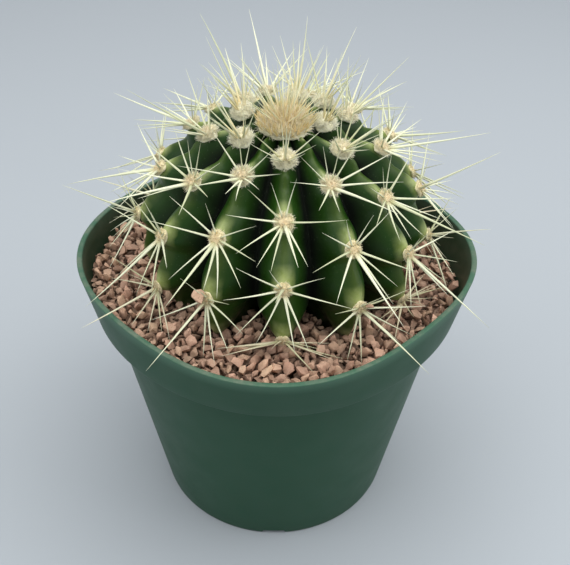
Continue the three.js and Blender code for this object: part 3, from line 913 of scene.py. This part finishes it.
def growNeedles(starts, tips, thickness, chance):
    # slightly bowed paths from the felt to the tips, and a taper that stays stout and then sharpens
    steps, bend = spinePlan["steps"], spinePlan["bend"]
    part = np.linspace(0, 1, steps)[None, :, None]
    span = tips - starts
    length = np.linalg.norm(span, axis=1)
    sideways = unit(np.cross(span, chance.normal(size=span.shape)))
    bow = sideways * (length * chance.uniform(-bend, bend, len(length)))[:, None]
    paths = starts[:, None, :] + span[:, None, :] * part + bow[:, None, :] * (4 * part * (1 - part))
    taper = 1 - 0.95 * np.linspace(0, 1, steps) ** spinePlan["taperPower"]
    taper[0] *= 1.15
    return paths, (thickness / 2)[:, None] * taper[None, :]


def spineMaterial():
    material, tree, shader, where = startMaterial("horny spine")
    along, age, tone = (readValue(tree, key) for key in ("along", "age", "tone"))
    # the crown's own bristles are golden all along, the youngest rib spines only near the felt
    young = remap(tree, age, 0.02, 0.16, 0.85, 0.0)
    root = addMath(tree, "MULTIPLY", young, remap(tree, along, 0.12, 0.5, 1.0, 0.0))
    golden = addMath(tree, "MAXIMUM", remap(tree, age, -0.1, 0.0, 1.0, 0.0), root)
    fresh = mixColour(tree, golden, spinePlan["pale"], spinePlan["golden"])
    colour = mixColour(tree, remap(tree, age, 0.72, 1.0), fresh, spinePlan["old"])
    colour = mixColour(tree, remap(tree, along, 0.72, 1.0, 0.0, 0.5), colour, spinePlan["tip"])
    colour = mixColour(tree, remap(tree, along, 0.0, 0.1, 0.5, 0.0), colour, spinePlan["foot"])
    colour = tint(tree, colour, tone, 0.6, spinePlan["olive"])
    tree.links.new(colour, shader.inputs["Base Color"])
    streak = place(tree, "mottle", where, Scale=900.0, Detail=3.0, Contrast=1.5)
    tree.links.new(remap(tree, streak, 0, 1, 0.3, 0.5), shader.inputs["Roughness"])
    shader.inputs["Specular IOR Level"].default_value = 0.5
    addBump(tree, shader, streak, 0.15, 0.08 * mm)
    return material


spineLook = spineMaterial()


def makeSpines(name, nodes, members):
    # members are (starts, tips, thickness, age) of each cluster
    chance = np.random.default_rng(abs(sum(map(ord, name))) * 7)
    starts, tips, thick, age = (np.concatenate(part) for part in zip(*members))
    paths, radii = growNeedles(starts, tips, thick, chance)
    points, faces, tube, step = sweepTubes(paths, radii, spinePlan["sides"], spinePlan["flatness"])
    tone = chance.random(len(starts)) ** 2
    piece = makePiece(name, points, faces, {"along": step, "age": age[tube], "tone": tone[tube]})
    piece.data.materials.append(spineLook)
    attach(piece, "root")
    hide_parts(*nodes)
    return len(starts)


def clusterNeedles(areole):
    found = needlesOf(areole["node"])
    start = areole["point"] + areole["out"] * (plantPlan["padGap"] + areole["pad"] * 0.3)
    tips = np.array([f["tip"] for f in found])
    length = np.linalg.norm(tips - start, axis=1)
    thick = spinePlan["thicken"] * np.array([f["slope"] for f in found]) * length
    # needles leave the felt side by side, not from one point
    ways = unit(tips - start)
    spread = ways - areole["out"] * (ways @ areole["out"])[:, None]
    starts = start + spread * areole["pad"] * spinePlan["footSpread"] - areole["out"] * spinePlan["footSink"]
    return starts, tips, thick, np.full(len(tips), areole["age"])


total = 0
for rib in range(ribCount):
    mine = [a for a in areoles if a["rib"] == rib]
    nodes = [a["node"] for a in mine]
    total += makeSpines(f"rib{rib + 1:02d}_spines", nodes, [clusterNeedles(a) for a in mine])
print("rib spines:", total)


# felt pads

feltPlan = {
    "hairsYoung": 1100,
    "hairsOld": 420,
    "lengthYoung": 1.7 * mm,
    "lengthOld": 0.8 * mm,
    "thickness": 0.11 * mm,
    "taper": (1.0, 0.9, 0.7, 0.35),
    "sides": 3,
    "rings": 9,
    "around": 26,
    "white": (1.0, 0.97, 0.76),
    "cream": (0.97, 0.87, 0.56),
    "old": (0.55, 0.43, 0.25),
    "core": (0.62, 0.36, 0.14),
    "stray": (0.97, 0.95, 0.84),
}


def feltMaterial():
    material, tree, shader, where = startMaterial("wool felt")
    age, core, tone = (readValue(tree, key) for key in ("age", "core", "tone"))
    colour = mixColour(tree, remap(tree, age, 0.0, 0.45), feltPlan["white"], feltPlan["cream"])
    colour = mixColour(tree, remap(tree, age, 0.75, 1.0), colour, feltPlan["old"])
    colour = tint(tree, colour, core, 0.8, feltPlan["core"])
    colour = tint(tree, colour, tone, 0.4, feltPlan["stray"])
    tree.links.new(colour, shader.inputs["Base Color"])
    tangle = place(tree, "mottle", where, Scale=1200.0, Detail=5.0, Contrast=2.0)
    tree.links.new(remap(tree, tangle, 0, 1, 0.8, 1.0), shader.inputs["Roughness"])
    shader.inputs["Specular IOR Level"].default_value = 0.15
    shader.inputs["Sheen Weight"].default_value = 0.25
    addBump(tree, shader, tangle, 0.6, 0.15 * mm)
    return material


feltLook = feltMaterial()


def feltMound(areole, chance):
    # a lumpy cushion under the hairs
    rings, around = feltPlan["rings"], feltPlan["around"]
    lift = np.linspace(0, 1, rings)[:, None] * np.ones((1, around))
    angle = (np.arange(around) / around * 2 * math.pi)[None, :] * np.ones((rings, 1))
    lean = (1 - lift ** 1.2) * math.pi / 2 * 1.15
    lump = 1 + 0.12 * np.sin(3 * angle + chance.uniform(0, 6)) * np.cos(4 * lean + chance.uniform(0, 6))
    lump = lump + chance.normal(0, 0.035, lump.shape)
    size = areole["pad"] * 0.92
    wool = 1 - smoothstep(areole["age"] / 0.3)
    flat = np.sin(lean) * size * lump
    high = np.cos(lean) * size * areole.get("rise", mix(0.6, 0.95, wool)) * lump
    centre = areole["point"] - areole["out"] * 0.25 * mm
    away = np.cos(angle)[..., None] * areole["right"] + np.sin(angle)[..., None] * areole["up"]
    points = centre + flat[..., None] * away + high[..., None] * areole["out"]
    bottom = centre - areole["out"] * 0.6 * mm
    flatPoints = np.concatenate([points[:-1].reshape(-1, 3), [points[-1, 0]], [bottom]])
    faces = []
    n, m = around, rings - 1
    for i in range(m - 1):
        faces += [(i * n + j, i * n + (j + 1) % n, (i + 1) * n + (j + 1) % n, (i + 1) * n + j)
                  for j in range(n)]
    faces += [((m - 1) * n + j, (m - 1) * n + (j + 1) % n, m * n) for j in range(n)]
    faces += [(j, m * n + 1, (j + 1) % n) for j in range(n)]
    core = np.concatenate([(lift[:-1] ** 3).ravel() * 0.7, [0.7], [0.0]]) * smoothstep(areole["age"] / 0.25)
    return flatPoints, faces, core


def curlHairs(root, way, length, chance):
    # paths of fine hairs that bend away more and more along their length
    count = len(length)
    curl = unit(chance.normal(size=(count, 3))) * (length * chance.uniform(0.1, 0.35, count))[:, None]
    part = np.linspace(0, 1, len(feltPlan["taper"]))[None, :, None]
    return root[:, None, :] + way[:, None, :] * length[:, None, None] * part + curl[:, None, :] * part ** 2


def feltHairs(areole, chance):
    young = 1 - smoothstep(areole["age"] / 0.5)
    wool = 1 - smoothstep(areole["age"] / 0.3)
    count = int(mix(feltPlan["hairsOld"], feltPlan["hairsYoung"], young))
    reach = mix(feltPlan["lengthOld"], feltPlan["lengthYoung"], young)
    around = chance.uniform(0, 2 * math.pi, count)
    outward = np.sqrt(chance.random(count))
    lean = outward * 1.45
    away = np.cos(around)[:, None] * areole["right"] + np.sin(around)[:, None] * areole["up"]
    size = areole["pad"] * 0.9
    root = (areole["point"] - areole["out"] * 0.2 * mm + away * (np.sin(lean) * size)[:, None]
            + areole["out"] * (np.cos(lean) * size * mix(0.56, 0.9, wool))[:, None])
    way = unit(away * np.sin(lean)[:, None] + areole["out"] * (np.cos(lean) * 0.9 + 0.25)[:, None]
               + chance.normal(0, 0.45, (count, 3)))
    length = reach * chance.uniform(0.35, 1.0, count) * mix(0.75, 1.0, outward)
    paths = curlHairs(root, way, length, chance)
    radii = feltPlan["thickness"] / 2 * np.array(feltPlan["taper"])[None, :] * np.ones((count, 1))
    core = (1 - outward) ** 1.2 * chance.random(count) ** 0.5 * smoothstep(areole["age"] / 0.2)
    return paths, radii, core


def makeFelt(name, members, nodes):
    chance = np.random.default_rng(sum(map(ord, name)))
    allPoints, allFaces, ages, cores, tones = [], [], [], [], []
    base = 0
    for areole in members:
        mound, moundFaces, moundCore = feltMound(areole, chance)
        paths, radii, hairCore = feltHairs(areole, chance)
        hairs, hairFaces, tube, step = sweepTubes(paths, radii, feltPlan["sides"])
        hairTone = chance.random(len(paths))[tube]
        hairCore = hairCore[tube] * (1 - 0.6 * step)
        for points, faces, core, tone in ((mound, moundFaces, moundCore, np.zeros(len(mound))),
                                          (hairs, hairFaces, hairCore, hairTone)):
            allPoints.append(points)
            allFaces += [tuple(base + i for i in f) for f in faces]
            ages.append(np.full(len(points), areole["age"]))
            cores.append(core)
            tones.append(tone)
            base += len(points)
    piece = makePiece(name, np.concatenate(allPoints), allFaces, {
        "age": np.concatenate(ages), "core": np.concatenate(cores), "tone": np.concatenate(tones)})
    piece.data.materials.append(feltLook)
    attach(piece, "root")
    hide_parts(*nodes)
    return len(piece.data.polygons)


feltFaces = 0
for rib in range(ribCount):
    mine = [a for a in areoles if a["rib"] == rib]
    feltFaces += makeFelt(f"rib{rib + 1:02d}_felt", mine, [a["node"] for a in mine])
print("felt pads:", feltFaces, "faces")


# crown

crownPlan = {
    "radius": 6.0 * mm,
    "forward": 2.6 * mm,
    "sink": 0.5 * mm,
    "needleDepth": 2 * mm,
    "needleThicken": 1.7,
    "goldenLean": (3, 32, 8),  # degrees in the middle, more at the edge, and by chance
    "golden": 360,
    "goldenLength": (2.8 * mm, 5.4 * mm),
    "goldenThickness": (0.35 * mm, 0.55 * mm),
    "goldenAge": -0.1,
    "needleAge": 0.05,
    "spiral": 2.39996,
    "spineSeed": 41,
    "woolSeed": 43,
    "wool": 2600,
    "woolLength": (2.6 * mm, 2.2 * mm),
    "woolRadius": 0.05 * mm,
}
tuftAt = crownAt - crownUp * crownPlan["forward"] - crownOut * crownPlan["sink"]


def crownSpots(count, chance):
    # roots spread over the crown, with the way out from its middle and how far out they are
    part = np.sqrt((np.arange(count) + 0.5) / count)
    around = np.arange(count) * crownPlan["spiral"] + chance.uniform(-0.4, 0.4, count)
    away = np.sin(around)[:, None] * crownRight + np.cos(around)[:, None] * crownUp
    return part, away


def makeCrownSpines():
    found = needlesOf("crown_tuft")
    tips = np.array([f["tip"] for f in found])
    back = np.array([f["back"] for f in found])
    reach = np.array([f["reach"] for f in found])
    reach = reach + crownPlan["needleDepth"]
    starts = tips + back * reach[:, None]
    thick = crownPlan["needleThicken"] * np.array([f["slope"] for f in found]) * reach
    chance = np.random.default_rng(crownPlan["spineSeed"])
    count = crownPlan["golden"]
    part, away = crownSpots(count, chance)
    roots = tuftAt + away * (part * crownPlan["radius"] * 1.1)[:, None] + crownOut * crownPlan["sink"]
    middle, more, stray = crownPlan["goldenLean"]
    lean = np.radians(middle + more * part + chance.normal(0, stray, count))
    ways = away * np.sin(lean)[:, None] + crownOut * np.cos(lean)[:, None]
    ends = roots + ways * (chance.uniform(*crownPlan["goldenLength"], count) * mix(1.0, 0.9, part))[:, None]
    thickGolden = chance.uniform(*crownPlan["goldenThickness"], count)
    makeSpines("crown_spines", ["crown_tuft"], [
        (starts, tips, thick, np.full(len(tips), crownPlan["needleAge"])),
        (roots, ends, thickGolden, np.full(count, crownPlan["goldenAge"])),
    ])


def makeCrownWool():
    chance = np.random.default_rng(crownPlan["woolSeed"])
    count = crownPlan["wool"]
    crown = {"point": tuftAt, "out": crownOut, "right": crownRight, "up": crownUp,
             "pad": crownPlan["radius"] * 1.1, "age": 0.1, "rise": 0.4}
    points, faces, core = feltMound(crown, chance)
    part, away = crownSpots(count, chance)
    lean = part * 1.5
    size = crown["pad"] * 0.93
    root = tuftAt + away * (np.sin(lean) * size)[:, None] + crownOut * (np.cos(lean) * size * 0.38)[:, None]
    way = unit(away * np.sin(lean)[:, None] * 0.8 + crownOut * (np.cos(lean) + 0.35)[:, None]
               + chance.normal(0, 0.35, (count, 3)))
    length = mix(*crownPlan["woolLength"], part) * chance.uniform(0.4, 1.1, count)
    paths = curlHairs(root, way, length, chance)
    radii = crownPlan["woolRadius"] * np.array(feltPlan["taper"])[None, :] * np.ones((count, 1))
    hairs, hairFaces, tube, _ = sweepTubes(paths, radii, feltPlan["sides"])
    base = len(points)
    faces += [tuple(base + i for i in f) for f in hairFaces]
    piece = makePiece("crown_wool", np.concatenate([points, hairs]), faces, {
        "age": np.concatenate([np.full(base, 0.2), (0.25 * (1 - part))[tube]]),
        "core": np.concatenate([core * 0.6, (0.5 * (1 - part) ** 0.7)[tube]]),
        "tone": np.concatenate([np.zeros(base), chance.random(count)[tube]]),
    })
    piece.data.materials.append(feltLook)
    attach(piece, "root")
    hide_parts("crown_tuft")


makeCrownSpines()
makeCrownWool()
print("crown ready")


# grit

gritPlan = {
    "small": 0.65 * mm,
    "large": 1.9 * mm,
    "shapes": 40,
    "corners": 14,
    "stones": 3900,
    "candidates": 20,
    "misses": 160,
    "shapeSeed": 11,
    "dropSeed": 5,
    "turnSeed": 17,
    "bedDepth": 5.5 * mm,
    "packing": 0.78,
    "above": 0.9 * mm,
    "strays": ((12, 2, -1.3, 1.9 * mm), (1, 2, 1.6, 1.1 * mm)),  # rib, row, sideways, size
    "pink": (0.84, 0.5, 0.36),
    "tan": (0.76, 0.52, 0.34),
    "dark": (0.3, 0.155, 0.105),
    "shadow": (0.04, 0.02, 0.013),
    "pale": (0.85, 0.58, 0.44),
    "fleck": (0.2, 0.12, 0.09),
    "dust": (0.7, 0.52, 0.38),
}


def skinDistance(point):
    # signed distance to the plant's skin, measured from the middle of its widest level
    x, y, z = leanTurn.T @ (np.array(point) - leanPivot)
    flat = np.hypot(x, y)
    slope = math.atan2(flat, z)
    length = float(np.interp(slope, outlineSlope, outlineLength))
    ribs = ((math.atan2(y, x) + math.pi / 2) / (2 * math.pi)) % 1 * ribCount
    nearest = round(ribs)
    across = max(-1.0, min(1.0, (ribs - nearest) * 2))
    at = uprightPoint(np.array(nearest % ribCount), np.array(across), length)
    return math.hypot(flat, z) - math.hypot(math.hypot(at[0] - plantPlan["offset"], at[1]), at[2] - equator)


outlineSlope = np.arctan2(outlineR, outlineZ - equator)


def stoneShapes():
    # crushed stone: the hull round a few scattered points, flattened a little
    chance = np.random.default_rng(gritPlan["shapeSeed"])
    corners = gritPlan["corners"]
    shapes = []
    for _ in range(gritPlan["shapes"]):
        scattered = unit(chance.normal(size=(corners, 3))) * chance.uniform(0.75, 1.0, (corners, 1))
        scattered = scattered * chance.uniform([0.9, 0.75, 0.5], [1.35, 1.05, 0.85])
        form = bmesh.new()
        for point in scattered:
            form.verts.new(point)
        bmesh.ops.convex_hull(form, input=form.verts)
        loose = [v for v in form.verts if not v.link_faces]
        bmesh.ops.delete(form, geom=loose, context="VERTS")
        bmesh.ops.recalc_face_normals(form, faces=form.faces)
        form.verts.index_update()
        points = np.array([v.co[:] for v in form.verts])
        faces = [tuple(v.index for v in f.verts) for f in form.faces]
        form.free()
        shapes.append((points / np.linalg.norm(points, axis=1).mean(), faces))
    return shapes


def dropStones():
    # each stone comes to rest in the lowest of a few places, until the bed is full
    chance = random.Random(gritPlan["dropSeed"])
    cell = 2 * gritPlan["large"]
    bed = {}
    placed = []
    misses = 0
    while len(placed) < gritPlan["stones"] and misses < gritPlan["misses"]:
        size = gritPlan["small"] + (gritPlan["large"] - gritPlan["small"]) * chance.random() ** 1.7
        best = None
        for _ in range(gritPlan["candidates"]):
            angle, out = chance.uniform(0, 2 * math.pi), math.sqrt(chance.random())
            wide = rimRadius * 0.99 * out
            x, y = wide * math.cos(angle), wide * math.sin(angle)
            top = float(gritTop(x, y))
            z = top - gritPlan["bedDepth"]
            for i in range(int(x // cell) - 1, int(x // cell) + 2):
                for j in range(int(y // cell) - 1, int(y // cell) + 2):
                    for px, py, pz, ps in bed.get((i, j), ()):
                        flat = (px - x) ** 2 + (py - y) ** 2
                        touch = ((ps + size) * gritPlan["packing"]) ** 2
                        if flat < touch:
                            z = max(z, pz + math.sqrt(touch - flat))
            gap = z + size * 0.6 - top
            if gap > gritPlan["above"] or (best and gap >= best[0]):
                continue
            squareness = 1 + float(squarenessAt(z)) * math.cos(4 * angle)
            if wide > float(innerRadiusAt(z)) * squareness - size * 0.85:
                continue
            if wide < bodyRadius + 6 * mm and skinDistance((x, y, z)) < size * 0.62:
                continue
            best = (gap, x, y, z)
        if not best:
            misses += 1
            continue
        _, x, y, z = best
        placed.append((x, y, z, size))
        bed.setdefault((int(x // cell), int(y // cell)), []).append(placed[-1])
    return placed


def stoneMaterial():
    material, tree, shader, where = startMaterial("crushed stone")
    tone, hue = readValue(tree, "tone"), readValue(tree, "hue")
    colour = mixColour(tree, hue, gritPlan["pink"], gritPlan["tan"])
    colour = tint(tree, colour, tone, 0.85, gritPlan["dark"])
    colour = tint(tree, colour, readValue(tree, "depth"), 0.8, gritPlan["shadow"])
    cloud = place(tree, "mottle", where, Scale=700.0, Detail=6.0, Contrast=2.2)
    colour = tint(tree, colour, cloud, 0.35, gritPlan["pale"])
    flecks = place(tree, "specks", where, Scale=2600.0, Size=0.3, Share=0.25)
    colour = tint(tree, colour, flecks, 0.45, gritPlan["fleck"])
    dust = place(tree, "dust", where, Scale=500.0, Amount=0.3)
    colour = mixColour(tree, dust, colour, gritPlan["dust"])
    tree.links.new(colour, shader.inputs["Base Color"])
    tree.links.new(remap(tree, cloud, 0, 1, 0.78, 0.95), shader.inputs["Roughness"])
    shader.inputs["Specular IOR Level"].default_value = 0.25
    addBump(tree, shader, place(tree, "grain", where, Scale=1800.0, Coarse=1.0), 0.7, 0.25 * mm)
    return material


def makeGrit():
    shapes = stoneShapes()
    chance = np.random.default_rng(gritPlan["turnSeed"])
    stones = dropStones()
    # stray stones that lie on low areoles
    for rib, row, side, size in gritPlan["strays"]:
        seat = next(a for a in areoles if a["rib"] == rib and a["row"] == row)
        at = seat["point"] + seat["right"] * side * mm + seat["up"] * 1.6 * mm + seat["out"] * 1.9 * mm
        stones.append((*at, size))
    points, faces, tones, hues, depths = [], [], [], [], []
    base = 0
    for x, y, z, size in stones:
        turn = np.linalg.qr(chance.normal(size=(3, 3)))[0]
        if np.linalg.det(turn) < 0:
            turn[:, 0] *= -1
        shape, shapeFaces = shapes[chance.integers(len(shapes))]
        points.append(shape @ turn.T * size + (x, y, z))
        faces += [tuple(base + i for i in f) for f in shapeFaces]
        tones.append(np.full(len(shape), chance.random() ** 1.4))
        hues.append(np.full(len(shape), chance.random()))
        depths.append(np.clip((gritTop(x, y) - points[-1][:, 2] - 0.6 * mm) / (3.2 * mm), 0, 1))
        base += len(shape)
    values = {"tone": np.concatenate(tones), "hue": np.concatenate(hues), "depth": np.concatenate(depths)}
    grit = makePiece("grit_stones", np.concatenate(points), faces, values, smooth=False)
    grit.data.materials.append(stoneMaterial())
    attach(grit, "root")
    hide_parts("grit")
    print("grit:", len(stones), "stones", len(grit.data.polygons), "faces")


makeGrit()


# potting mix

mixPlan = {"dark": (0.022, 0.014, 0.009), "brown": (0.085, 0.055, 0.034), "crumb": (0.4, 0.34, 0.27)}


def mixMaterial():
    material, tree, shader, where = startMaterial("potting mix")
    cloud = place(tree, "mottle", where, Scale=300.0, Detail=8.0, Contrast=2.5)
    colour = mixColour(tree, cloud, mixPlan["dark"], mixPlan["brown"])
    crumbs = place(tree, "specks", where, Scale=500.0, Size=0.35, Share=0.2)
    colour = tint(tree, colour, crumbs, 0.6, mixPlan["crumb"])
    tree.links.new(colour, shader.inputs["Base Color"])
    tree.links.new(remap(tree, cloud, 0, 1, 0.85, 1.0), shader.inputs["Roughness"])
    addBump(tree, shader, place(tree, "grain", where, Scale=500.0, Coarse=1.5), 1.0, 0.8 * mm)
    return material


for slot in frame["nodes"]["potting_mix"].material_slots:
    slot.material = mixMaterial()
print("potting mix ready")
